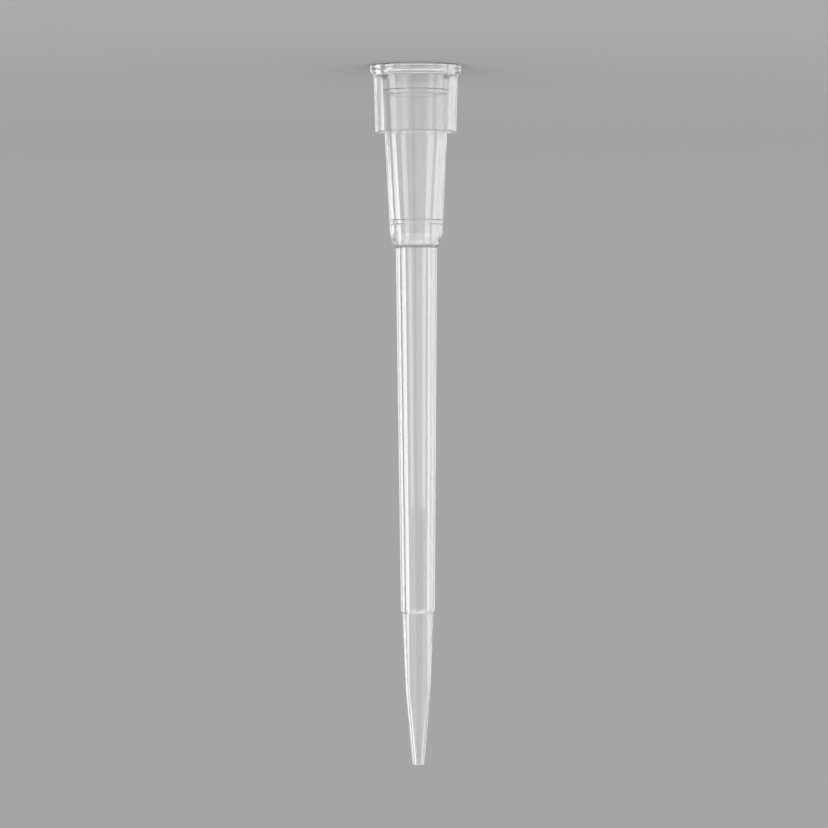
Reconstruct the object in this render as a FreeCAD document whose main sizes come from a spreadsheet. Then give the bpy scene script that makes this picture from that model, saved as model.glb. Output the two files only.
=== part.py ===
"""Long fine-point pipette tip for a ten-microlitre pipette, in millimetres.

One moulded piece, hollow from end to end and turned about the Z axis. It stands on its rim:
the mouth that takes the pipette's nozzle is at Z = 0, and the point is at the top.
"""

import FreeCAD, Part
import Sketcher
import os

# Diameters, heights and radii of the moulding. Heights are measured from the rim's face.
SIZES = {
    "tip_length": 46.0,
    # rim and collar; the back of the rim slopes in above its band
    "rim_diameter": 5.98,
    "rim_band_height": 0.47,
    "rim_height": 0.71,
    "rim_face_round": 0.13,
    "rim_back_round": 0.35,
    "rim_root_round": 0.2,
    "collar_root_diameter": 5.54,
    "collar_end_diameter": 5.32,
    "collar_height": 4.42,
    "collar_edge_round": 0.04,
    # recess between the collar's skirt and the socket's wall, open towards the point
    "recess_outer_diameter": 4.72,
    "recess_inner_diameter": 4.46,
    "recess_floor_height": 0.62,
    # outside, from the collar to the point
    "socket_root_diameter": 4.13,
    "socket_end_diameter": 3.45,
    "socket_end_height": 11.04,
    "shoulder_end_height": 12.0,
    "shaft_root_diameter": 2.72,
    "shaft_end_diameter": 2.23,
    "shaft_end_height": 35.85,
    "step_end_height": 36.03,
    "step_end_diameter": 2.045,
    "kink_height": 41.0,
    "kink_diameter": 1.645,
    "point_diameter": 0.77,
    "point_round": 0.09,
    # bore, from the mouth to the orifice
    "mouth_diameter": 4.4,
    "lead_in_depth": 0.95,
    "socket_bore_root_diameter": 3.75,
    "socket_bore_end_diameter": 2.61,
    "socket_bore_end_height": 11.4,
    "throat_height": 12.0,
    "throat_round": 0.12,
    "shaft_bore_root_diameter": 2.01,
    "shaft_bore_end_diameter": 1.57,
    "kink_bore_diameter": 1.37,
    "orifice_diameter": 0.45,
    # sealing rings inside the socket: a low bead with a cylindrical crest
    "upper_ring_height": 1.78,
    "upper_ring_crest_diameter": 3.56,
    "upper_ring_root_diameter": 3.76,
    "lower_ring_height": 10.31,
    "lower_ring_crest_diameter": 2.66,
    "lower_ring_root_diameter": 2.86,
    "ring_crest_width": 0.24,
    "ring_root_width": 0.48,
}

SHOULDER = ("socket_end_diameter", "socket_end_height")  # where the rounded shoulder starts
THROAT = ("socket_bore_end_diameter", "socket_bore_end_height")  # the same inside

# Corners of the outlines as a diameter and a height; None is the axis or the rim's face.
OUTSIDE = [
    (None, None),
    ("rim_diameter", None),
    ("rim_diameter", "rim_band_height"),
    ("collar_root_diameter", "rim_height"),
    ("collar_end_diameter", "collar_height"),
    ("recess_outer_diameter", "collar_height"),
    ("recess_outer_diameter", "recess_floor_height"),
    ("recess_inner_diameter", "recess_floor_height"),
    ("socket_root_diameter", "collar_height"),
    SHOULDER,
    ("shaft_root_diameter", "shoulder_end_height"),
    ("shaft_end_diameter", "shaft_end_height"),
    ("step_end_diameter", "step_end_height"),
    ("kink_diameter", "kink_height"),
    ("point_diameter", "tip_length"),
    (None, "tip_length"),
]

BORE = [
    (None, None),
    ("mouth_diameter", None),
    ("socket_bore_root_diameter", "lead_in_depth"),
    THROAT,
    ("shaft_bore_root_diameter", "throat_height"),
    ("shaft_bore_end_diameter", "step_end_height"),
    ("kink_bore_diameter", "kink_height"),
    ("orifice_diameter", "tip_length"),
    (None, "tip_length"),
]

# Corners of a ring's section as a level and a side: -1 is towards the mouth, 1 towards the point.
RING = [("crest", -1), ("crest", 1), ("root", 1), ("root", -1)]


def make_sheet(doc):
    """The spreadsheet that holds every driving dimension under its own alias."""
    sheet = doc.addObject("Spreadsheet::Sheet", "Sheet")
    for row, (alias, value) in enumerate(SIZES.items(), start=1):
        sheet.set(f"A{row}", alias)
        sheet.set(f"B{row}", str(value))
        sheet.setAlias(f"B{row}", alias)
    doc.recompute()
    return sheet


def new_sketch(body, name):
    """An empty sketch on the plane through the axis: its x is a radius, its y a height."""
    plane = next(item for item in body.Origin.OriginFeatures if item.Role == "XZ_Plane")
    sketch = body.newObject("Sketcher::SketchObject", name)
    sketch.AttachmentSupport = (plane, [""])
    sketch.MapMode = "FlatFace"
    return sketch


def tangent_arc(before, start, end):
    """The arc from start to end that carries on smoothly from the line before it."""
    along = (start - before).normalize()
    across = FreeCAD.Vector(-along.y, along.x, 0)
    chord = end - start
    radius = chord.dot(chord) / (2 * across.dot(chord))
    centre = start + across * radius
    outward = ((start + end) * 0.5 - centre).normalize()
    return Part.Arc(start, centre + outward * abs(radius), end)


def draw_outline(sketch, points, rounded):
    """Draws a closed outline. The side numbered rounded is an arc, tangent to the side before it."""
    count = len(points)
    for side in range(count):
        start = points[side]
        end = points[(side + 1) % count]
        if side == rounded:
            sketch.addGeometry(tangent_arc(points[side - 1], start, end))
        else:
            sketch.addGeometry(Part.LineSegment(start, end))
    for side in range(count):
        joint = "Tangent" if side == rounded else "Coincident"
        sketch.addConstraint(Sketcher.Constraint(joint, (side - 1) % count, 2, side, 1))


def hold(sketch, kind, side, expression):
    """Ties the start of a side to an axis, or to a distance from it that the sheet gives."""
    across = kind == "radius"
    if expression is None:
        sketch.addConstraint(Sketcher.Constraint("PointOnObject", side, 1, -2 if across else -1))
        return
    place = sketch.getPoint(side, 1)
    direction = "DistanceX" if across else "DistanceY"
    distance = place.x if across else place.y
    index = sketch.addConstraint(Sketcher.Constraint(direction, -1, 1, side, 1, distance))
    name = f"{kind}_{side}"
    sketch.renameConstraint(index, name)
    sketch.setExpression(f"Constraints.{name}", expression)


def profile_sketch(body, name, corners, rounded):
    """The outline through corners of the sheet, with an arc after the corner numbered rounded."""
    sketch = new_sketch(body, name)
    points = [FreeCAD.Vector(SIZES.get(wide, 0) / 2, SIZES.get(high, 0), 0) for wide, high in corners]
    draw_outline(sketch, points, rounded)
    for side, (wide, high) in enumerate(corners):
        hold(sketch, "radius", side, f"Sheet.{wide} / 2" if wide else None)
        hold(sketch, "height", side, f"Sheet.{high}" if high else None)
    return sketch


def ring_sketch(body, ring):
    """The section of a sealing ring: a flat crest on a wider root that is sunk in the wall."""
    sketch = new_sketch(body, f"{ring}_section")
    middle = SIZES[f"{ring}_height"]
    points = []
    for level, side in RING:
        radius = SIZES[f"{ring}_{level}_diameter"] / 2
        points.append(FreeCAD.Vector(radius, middle + side * SIZES[f"ring_{level}_width"] / 2, 0))
    draw_outline(sketch, points, rounded=None)
    for number, (level, side) in enumerate(RING):
        hold(sketch, "radius", number, f"Sheet.{ring}_{level}_diameter / 2")
        hold(sketch, "height", number, f"Sheet.{ring}_height + {side} * Sheet.ring_{level}_width / 2")
    return sketch


def turn(body, kind, name, sketch):
    """Turns a sketch about the axis: a Revolution adds its solid, a Groove cuts it away."""
    feature = body.newObject(f"PartDesign::{kind}", name)
    feature.Profile = sketch
    feature.ReferenceAxis = (sketch, ["V_Axis"])
    feature.Angle = 360
    return feature


def round_edge(doc, body, base, name, wide, high, radius):
    """Rounds the circular edge of that diameter and height by a radius of the sheet."""
    doc.recompute()
    target = (SIZES[wide] / 2, SIZES.get(high, 0))
    edges = []
    for number, edge in enumerate(base.Shape.Edges, start=1):
        if isinstance(edge.Curve, Part.Circle):
            size = (edge.Curve.Radius, edge.Curve.Center.z)
            if all(abs(have - want) < 1e-4 for have, want in zip(size, target)):
                edges.append(f"Edge{number}")
    fillet = body.newObject("PartDesign::Fillet", name)
    fillet.Base = (base, edges)
    fillet.setExpression("Radius", f"Sheet.{radius}")
    return fillet


def make_tip(doc):
    """The whole moulding: the outside is turned, its edges rounded, and the bore taken out."""
    body = doc.addObject("PartDesign::Body", "Tip")
    body.Label = "pipette_tip"
    outline = profile_sketch(body, "outside", OUTSIDE, rounded=OUTSIDE.index(SHOULDER))
    solid = turn(body, "Revolution", "hull", outline)
    solid = round_edge(doc, body, solid, "face_edge", "rim_diameter", None, "rim_face_round")
    solid = round_edge(
        doc, body, solid, "back_edge", "rim_diameter", "rim_band_height", "rim_back_round"
    )
    solid = round_edge(
        doc, body, solid, "root_edge", "collar_root_diameter", "rim_height", "rim_root_round"
    )
    solid = round_edge(
        doc, body, solid, "collar_edge", "collar_end_diameter", "collar_height", "collar_edge_round"
    )
    round_edge(doc, body, solid, "point_edge", "point_diameter", "tip_length", "point_round")
    doc.recompute()
    full = body.Shape.Volume
    bore_outline = profile_sketch(body, "bore_outline", BORE, rounded=BORE.index(THROAT))
    bore = turn(body, "Groove", "bore", bore_outline)
    doc.recompute()
    print("bore takes out", round(full - body.Shape.Volume, 3), "of", round(full, 3), "mm3")
    round_edge(
        doc, body, bore, "throat_edge", "shaft_bore_root_diameter", "throat_height", "throat_round"
    )
    for ring in ("upper_ring", "lower_ring"):
        turn(body, "Revolution", ring, ring_sketch(body, ring))
    doc.recompute()
    return body


def check(doc, parts):
    """Stops if an object failed or a sub-part has no valid solid."""
    for item in doc.Objects:
        if "Invalid" in item.State or "Error" in item.State:
            raise RuntimeError(f"{item.Name} failed: {item.State}")
    for part in parts:
        if part.Shape.isNull() or not part.Shape.isValid() or len(part.Shape.Solids) != 1:
            raise RuntimeError(f"{part.Label} is not one valid solid")


def main():
    doc = FreeCAD.newDocument("pipette_tip")
    make_sheet(doc)
    parts = [make_tip(doc)]
    check(doc, parts)
    os.makedirs("parts", exist_ok=True)
    for part in parts:
        part.Shape.exportStep(f"parts/{part.Label}.step")
        box = part.Shape.BoundBox
        print(part.Label, "volume", round(part.Shape.Volume, 3), "mm3, box", box)


main()
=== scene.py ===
"""Looks of the long fine-point pipette tip: one moulding of natural polypropylene.

The tip stands on its rim with the mouth down, as the CAD part does. Lengths are in metres
unless a name or comment says millimetres.
"""

import math

import bpy
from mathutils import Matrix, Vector

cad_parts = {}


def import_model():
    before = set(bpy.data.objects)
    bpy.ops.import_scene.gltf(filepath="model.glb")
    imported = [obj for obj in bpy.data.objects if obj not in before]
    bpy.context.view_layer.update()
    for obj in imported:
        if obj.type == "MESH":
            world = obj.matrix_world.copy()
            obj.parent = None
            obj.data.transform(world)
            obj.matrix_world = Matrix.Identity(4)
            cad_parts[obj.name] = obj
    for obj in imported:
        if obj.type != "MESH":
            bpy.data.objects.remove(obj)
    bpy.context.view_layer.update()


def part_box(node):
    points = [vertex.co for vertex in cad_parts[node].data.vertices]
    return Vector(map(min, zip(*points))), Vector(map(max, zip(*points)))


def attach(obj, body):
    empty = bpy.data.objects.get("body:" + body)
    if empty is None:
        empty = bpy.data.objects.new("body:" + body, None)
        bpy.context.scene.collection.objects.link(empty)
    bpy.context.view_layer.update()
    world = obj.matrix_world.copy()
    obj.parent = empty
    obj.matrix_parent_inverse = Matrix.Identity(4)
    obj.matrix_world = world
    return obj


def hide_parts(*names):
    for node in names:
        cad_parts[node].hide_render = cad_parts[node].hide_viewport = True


MM = 0.001
NODE = "pipette_tip"

# ---------------------------------------------------------------- the moulding, in millimetres
# Corners are a diameter, a height above the rim's face and an edge round.
EDGE = 0.03  # a moulded edge with no round of its own
RIM_BAND_HEIGHT = 0.47  # the back of the rim slopes away above its band
COLLAR_HEIGHT = 4.42
RECESS_FLOOR_HEIGHT = 0.62
RECESS_ROUND = 0.05
SOCKET_END = (3.45, 11.04, 0.0)  # the shoulder's arc starts here
STEP_END_HEIGHT = 36.03
STEP_ROUND = 0.12
KINK_HEIGHT = 41.0

SOCKET_BORE_ROOT = (3.75, 0.95, EDGE)
SOCKET_BORE_END = (2.61, 11.4, 0.0)  # the arc under the shoulder starts here

# A sealing ring's middle height, its crest's diameter and the widths of its lower and upper flank.
UPPER_RING = (1.78, 3.56, (0.06, 0.06))
LOWER_RING = (10.31, 2.66, (0.04, 0.04))
RING_CREST_WIDTH = 0.24
RING_ROUND = 0.03

AROUND = 288  # segments round the axis
ARC_STEP = math.radians(9)
LEAST_TURN = math.radians(1)  # a corner that turns less than this needs no round
ROUND_SHARE = 0.7  # the most of a wall that a round may take up
SUPPORT = 0.02  # a loop this far from each corner keeps the long walls' normals true


def point(corner):
    return Vector((corner[0] / 2, corner[1]))


def tangent_arc(before, start, end):
    """Points of the arc from start to end that carries on smoothly from the line before it."""
    along = (start - before).normalized()
    across = Vector((-along.y, along.x))
    chord = end - start
    radius = chord.dot(chord) / (2 * across.dot(chord))
    centre = start + across * radius
    first = start - centre
    sweep = first.angle_signed(end - centre)
    steps = math.ceil(abs(sweep) / ARC_STEP)
    turned = []
    for step in range(steps + 1):
        angle = -sweep * step / steps
        turned.append(centre + Vector((
            first.x * math.cos(angle) - first.y * math.sin(angle),
            first.x * math.sin(angle) + first.y * math.cos(angle),
        )))
    return turned


def rounded(before, corner, after, radius):
    """Points of the round on a corner between two straight walls."""
    back = before - corner
    ahead = after - corner
    reach = min(back.length, ahead.length) * ROUND_SHARE
    back.normalize()
    ahead.normalize()
    turn = math.pi - back.angle(ahead)
    if radius == 0 or turn < LEAST_TURN:
        return [corner]
    reach = min(radius * math.tan(turn / 2), reach)
    radius = reach / math.tan(turn / 2)
    centre = corner + (back + ahead).normalized() * math.hypot(radius, reach)
    start = corner + back * reach - centre
    end = corner + ahead * reach - centre
    steps = max(2, math.ceil(turn / ARC_STEP))
    points = []
    for step in range(steps + 1):
        share = step / steps
        points.append(centre + start.slerp(end, share) * radius)
    return points


def socket_bore(height):
    """The diameter of the socket's tapered bore at a height."""
    start, first, _ = SOCKET_BORE_ROOT
    end, last, _ = SOCKET_BORE_END
    return start + (height - first) / (last - first) * (end - start)


def ring_corners(ring):
    """The four corners of a sealing ring on the bore, from its lower root to its upper root."""
    middle, crest, (lower_flank, upper_flank) = ring
    foot = middle - RING_CREST_WIDTH / 2
    head = middle + RING_CREST_WIDTH / 2
    return [
        (socket_bore(foot - lower_flank), foot - lower_flank, RING_ROUND),
        (crest, foot, RING_ROUND),
        (crest, head, RING_ROUND),
        (socket_bore(head + upper_flank), head + upper_flank, RING_ROUND),
    ]


def outline(rim_diameter, length):
    """The closed outline as (radius, height), anticlockwise from the mouth round the outside."""
    outside = [
        (rim_diameter, 0, 0.13),
        (rim_diameter, RIM_BAND_HEIGHT, 0.35),
        (5.54, 0.71, 0.2),  # rim's back meets the collar
        (5.32, COLLAR_HEIGHT, 0.05),
        (4.72, COLLAR_HEIGHT, EDGE),  # recess, open towards the point
        (4.72, RECESS_FLOOR_HEIGHT, RECESS_ROUND),
        (4.46, RECESS_FLOOR_HEIGHT, RECESS_ROUND),
        (4.13, COLLAR_HEIGHT, EDGE),  # socket's cone
        SOCKET_END,
        (2.72, 12.0, 0.08),  # shaft
        (2.23, 35.85, STEP_ROUND),
        (2.045, STEP_END_HEIGHT, STEP_ROUND),
        (1.645, KINK_HEIGHT, EDGE),
        (0.77, length, 0.09),
    ]
    bore = [
        (4.4, 0, EDGE),  # lead-in
        SOCKET_BORE_ROOT,
        *ring_corners(UPPER_RING),
        *ring_corners(LOWER_RING),
        SOCKET_BORE_END,
        (2.01, 12.0, 0.25),  # throat
        (1.57, STEP_END_HEIGHT, EDGE),
        (1.37, KINK_HEIGHT, EDGE),
        (0.45, length, EDGE),  # orifice
    ]
    corners = outside + bore[::-1]
    count = len(corners)
    stations = []
    for index, corner in enumerate(corners):
        before = point(corners[index - 1])
        here = point(corner)
        after = point(corners[(index + 1) % count])
        if corner is SOCKET_END:
            stations.append(tangent_arc(before, here, after))
        elif corner is SOCKET_BORE_END:
            stations.append(tangent_arc(after, here, before)[::-1])
        else:
            stations.append(rounded(before, here, after, corner[2]))
    loop = []
    for index, station in enumerate(stations):
        loop += station
        run = stations[(index + 1) % count][0] - station[-1]
        if run.length > 4 * SUPPORT:
            loop.append(station[-1] + run.normalized() * SUPPORT)
            loop.append(station[-1] + run - run.normalized() * SUPPORT)
    return loop


def turned(name, loop, centre, floor):
    """A solid of revolution from a closed outline in millimetres."""
    verts = []
    for step in range(AROUND):
        angle = 2 * math.pi * step / AROUND
        for radius, height in loop:
            verts.append((
                centre.x + radius * MM * math.cos(angle),
                centre.y + radius * MM * math.sin(angle),
                floor + height * MM,
            ))
    count = len(loop)
    faces = []
    for step in range(AROUND):
        here = step * count
        there = (step + 1) % AROUND * count
        for index in range(count):
            follow = (index + 1) % count
            faces.append((here + index, there + index, there + follow, here + follow))
    mesh = bpy.data.meshes.new(name)
    mesh.from_pydata(verts, [], faces)
    mesh.validate()
    mesh.shade_smooth()
    piece = bpy.data.objects.new(name, mesh)
    bpy.context.scene.collection.objects.link(piece)
    return piece


# ---------------------------------------------------------------- materials
MARKS = 12.0  # scale of the draw marks round the axis
MARKS_DRIFT = 0.004 / MM  # how fast they change along it
SHAFT_RADIUS = 1.8 * MM  # they are faint from here inwards
COLLAR_RADIUS = 2.7 * MM  # and at their deepest from here outwards
MARK_DEPTH = 4e-6
GRAIN_DEPTH = 2e-7


def stretched(tree, vector, factors):
    """A vector in which each axis is multiplied by its factor."""
    product = tree.nodes.new("ShaderNodeVectorMath")
    product.operation = "MULTIPLY"
    product.inputs[1].default_value = factors
    tree.links.new(vector, product.inputs[0])
    return product.outputs["Vector"]


def noise(tree, vector, scale, detail=2.0):
    """Soft noise whose features are about one over the scale in the vector's units."""
    texture = tree.nodes.new("ShaderNodeTexNoise")
    texture.inputs["Scale"].default_value = scale
    texture.inputs["Detail"].default_value = detail
    tree.links.new(vector, texture.inputs["Vector"])
    return texture.outputs["Fac"]


def spread(tree, value, low, high, start=0.3, end=0.7):
    """Spreads a value that runs from start to end, as noise mostly does, from low to high."""
    spreader = tree.nodes.new("ShaderNodeMapRange")
    spreader.inputs["From Min"].default_value = start
    spreader.inputs["From Max"].default_value = end
    spreader.inputs["To Min"].default_value = low
    spreader.inputs["To Max"].default_value = high
    tree.links.new(value, spreader.inputs["Value"])
    return spreader.outputs["Result"]


def draw_marks(tree, place):
    """Fine lines along the moulding, and their depth, which is greatest on the collar."""
    outward = stretched(tree, place, (1, 1, 0))
    direction = tree.nodes.new("ShaderNodeVectorMath")
    direction.operation = "NORMALIZE"
    tree.links.new(outward, direction.inputs[0])
    drift = tree.nodes.new("ShaderNodeVectorMath")
    drift.operation = "ADD"
    tree.links.new(direction.outputs["Vector"], drift.inputs[0])
    tree.links.new(stretched(tree, place, (0, 0, MARKS_DRIFT)), drift.inputs[1])
    lines = noise(tree, drift.outputs["Vector"], MARKS, detail=3.0)
    radius = tree.nodes.new("ShaderNodeVectorMath")
    radius.operation = "LENGTH"
    tree.links.new(outward, radius.inputs[0])
    depth = tree.nodes.new("ShaderNodeMath")
    depth.operation = "MULTIPLY"
    tree.links.new(lines, depth.inputs[0])
    share = spread(tree, radius.outputs["Value"], 0.08, 1.0, SHAFT_RADIUS, COLLAR_RADIUS)
    tree.links.new(share, depth.inputs[1])
    return lines, depth.outputs["Value"]


def tint(tree, value, first, last):
    """A colour that goes from first to last with the value."""
    ramp = tree.nodes.new("ShaderNodeValToRGB")
    ramp.color_ramp.elements[0].position = 0.3
    ramp.color_ramp.elements[0].color = first
    ramp.color_ramp.elements[1].position = 0.7
    ramp.color_ramp.elements[1].color = last
    tree.links.new(value, ramp.inputs["Fac"])
    return ramp.outputs["Color"]


def relief(tree, value, depth, before=None):
    """Bump of a depth in metres, on top of the bump before it."""
    bump = tree.nodes.new("ShaderNodeBump")
    bump.inputs["Distance"].default_value = depth
    tree.links.new(value, bump.inputs["Height"])
    if before is not None:
        tree.links.new(before, bump.inputs["Normal"])
    return bump.outputs["Normal"]


def polypropylene():
    """Clear, faintly milky moulded plastic, with draw marks along the axis and a fine grain."""
    material = bpy.data.materials.new("clear_polypropylene")
    material.use_nodes = True
    tree = material.node_tree
    shader = tree.nodes["Principled BSDF"]
    shader.inputs["IOR"].default_value = 1.49
    shader.inputs["Transmission Weight"].default_value = 0.89
    place = tree.nodes.new("ShaderNodeTexCoord").outputs["Object"]
    clouds = noise(tree, stretched(tree, place, (1, 1, 0.5)), 0.5 / MM, detail=3.0)
    colour = tint(tree, clouds, (0.98, 0.98, 0.98, 1), (1, 1, 1, 1))
    tree.links.new(colour, shader.inputs["Base Color"])
    lines, depth = draw_marks(tree, place)
    tree.links.new(spread(tree, lines, 0.0, 0.05), shader.inputs["Roughness"])
    normal = relief(tree, depth, MARK_DEPTH)
    normal = relief(tree, noise(tree, place, 12 / MM), GRAIN_DEPTH, normal)
    tree.links.new(normal, shader.inputs["Normal"])
    return material


def paper(name, colour, fade_from, fade_to):
    """Matt floor paper that fades into the background away from the object."""
    material = bpy.data.materials.new(name)
    material.use_nodes = True
    tree = material.node_tree
    shader = tree.nodes["Principled BSDF"]
    shader.inputs["Base Color"].default_value = colour
    shader.inputs["Roughness"].default_value = 1.0
    shader.inputs["Specular IOR Level"].default_value = 0.0
    place = tree.nodes.new("ShaderNodeTexCoord")
    length = tree.nodes.new("ShaderNodeVectorMath")
    length.operation = "LENGTH"
    tree.links.new(place.outputs["Object"], length.inputs[0])
    fade = tree.nodes.new("ShaderNodeMapRange")
    fade.interpolation_type = "SMOOTHERSTEP"
    fade.inputs["From Min"].default_value = fade_from
    fade.inputs["From Max"].default_value = fade_to
    fade.inputs["To Min"].default_value = 1.0
    fade.inputs["To Max"].default_value = 0.0
    tree.links.new(length.outputs["Value"], fade.inputs["Value"])
    tree.links.new(fade.outputs["Result"], shader.inputs["Alpha"])
    return material


# ---------------------------------------------------------------- studio
BACKGROUND = 0.38  # linear grey of the backdrop
LIGHT_DISTANCE = 0.40
FLOOR_RADIUS = 0.5
FLOOR_SIDES = 96

# Softboxes round the object: the headings and the elevations that each fills, in degrees, and
# how much it outshines the backdrop. The front ones light the tip but aren't seen through it, so
# that it looks as clear from behind and from the sides.
LEVEL = (-17, 17)
SOFTBOXES = {
    "back_left_low": (-45, -26, (-17, -3.5), 0.2),
    "back_left_high": (-45, -26, (-3.5, 17), 1.0),
    "back_left": (-26, -12.5, LEVEL, 0.9),
    "strip_left": (-6.5, -3.5, (-17, 2), 0.3),
    "strip_middle": (0, 4.5, (-17, 2), 0.12),
    "strip_right": (4.5, 9, (-17, 2), 0.35),
    "far_left": (-80, -45, (-17, -6), 0.4),
    "behind": (-26, 30, LEVEL, 0.09),
    "behind_low": (-12.5, 14, (-17, -6), 0.25),
    "low_back": (-45, 45, (-30, -17), 0.05),
    "back_right": (14, 60, (-17, 5.5), 0.5),
    "back_right_high": (14, 60, (5.5, 12), 0.3),
    "side_right": (64, 100, LEVEL, 0.65),
    "front_right": (100, 142, LEVEL, 2.2),
    "front": (142, 195, LEVEL, 0.9),
    "front_left": (-165, -128, LEVEL, 2.2),
    "side_left": (-128, -96, LEVEL, 0.75),
    "front_high": (142, 218, (40, 62), 2.0),
    "raised_left": (-45, -18, (17, 30), 0.4),
    "raised_right": (28, 50, (12, 30), 0.75),
}


def heading(degrees):
    """The level direction from the object: 0 is away from the camera, positive to picture right."""
    angle = math.radians(degrees)
    return Vector((-math.sin(angle), math.cos(angle), 0))


def softbox(name, start, end, elevations, radiance, centre):
    """A softbox with its face to the object that fills the headings and elevations evenly."""
    low, high = (math.radians(angle) for angle in elevations)
    middle = (low + high) / 2
    width = 2 * LIGHT_DISTANCE * math.cos(middle) * math.tan(math.radians(end - start) / 2)
    height = 2 * LIGHT_DISTANCE * math.tan((high - low) / 2)
    lamp = bpy.data.lights.new(name, "AREA")
    lamp.shape = "RECTANGLE"
    lamp.size = width
    lamp.size_y = height
    lamp.energy = radiance * math.pi * width * height
    light = bpy.data.objects.new(name, lamp)
    bpy.context.scene.collection.objects.link(light)
    way = heading((start + end) / 2) * math.cos(middle) + Vector((0, 0, math.sin(middle)))
    light.location = centre + way * LIGHT_DISTANCE
    light.rotation_euler = way.to_track_quat("Z", "Y").to_euler()
    light.visible_camera = False
    light.visible_transmission = not name.startswith("front")


def studio(centre, floor):
    world = bpy.data.worlds.new("studio")
    bpy.context.scene.world = world
    world.use_nodes = True
    world.node_tree.nodes["Background"].inputs["Color"].default_value = (
        BACKGROUND, BACKGROUND, BACKGROUND, 1)
    for name, (start, end, elevations, radiance) in SOFTBOXES.items():
        softbox(name, start, end, elevations, radiance, centre)

    mesh = bpy.data.meshes.new("floor")
    verts = [(0, 0, 0)]
    for step in range(FLOOR_SIDES):
        angle = 2 * math.pi * step / FLOOR_SIDES
        verts.append((FLOOR_RADIUS * math.cos(angle), FLOOR_RADIUS * math.sin(angle), 0))
    faces = [(0, step + 1, (step + 1) % FLOOR_SIDES + 1) for step in range(FLOOR_SIDES)]
    mesh.from_pydata(verts, [], faces)
    ground = bpy.data.objects.new("floor", mesh)
    ground.location = (centre.x, centre.y, floor)
    mesh.materials.append(paper("floor_paper", (0.6, 0.6, 0.6, 1), 0.02, 0.2))
    bpy.context.scene.collection.objects.link(ground)
    ground.visible_transmission = False
    ground.visible_glossy = False


CAMERA_OFFSET = Vector((0.205, -300, -0.07)) * MM
LENS = 198.4
TIP_LEAN = math.radians(0.2436)  # the lean of the tip in the picture


def camera(centre):
    """Level with the middle of the tip and rolled over, so that the mouth is at the top."""
    data = bpy.data.cameras.new("camera")
    data.sensor_width = 36
    data.lens = LENS
    data.clip_start = 0.01
    data.clip_end = 10
    cam = bpy.data.objects.new("camera", data)
    cam.location = centre + CAMERA_OFFSET
    cam.rotation_euler = (math.pi / 2, math.pi + TIP_LEAN, 0)
    bpy.context.scene.collection.objects.link(cam)
    bpy.context.scene.camera = cam


def main():
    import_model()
    low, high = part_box(NODE)
    centre = (low + high) / 2
    loop = outline((high.x - low.x) / MM, (high.z - low.z) / MM)
    tip = turned("tip", loop, centre, low.z)
    tip.data.materials.append(polypropylene())
    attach(tip, "root")
    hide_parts(NODE)
    studio(centre, low.z)
    camera(centre)
    bpy.context.scene.view_settings.view_transform = "Standard"


main()
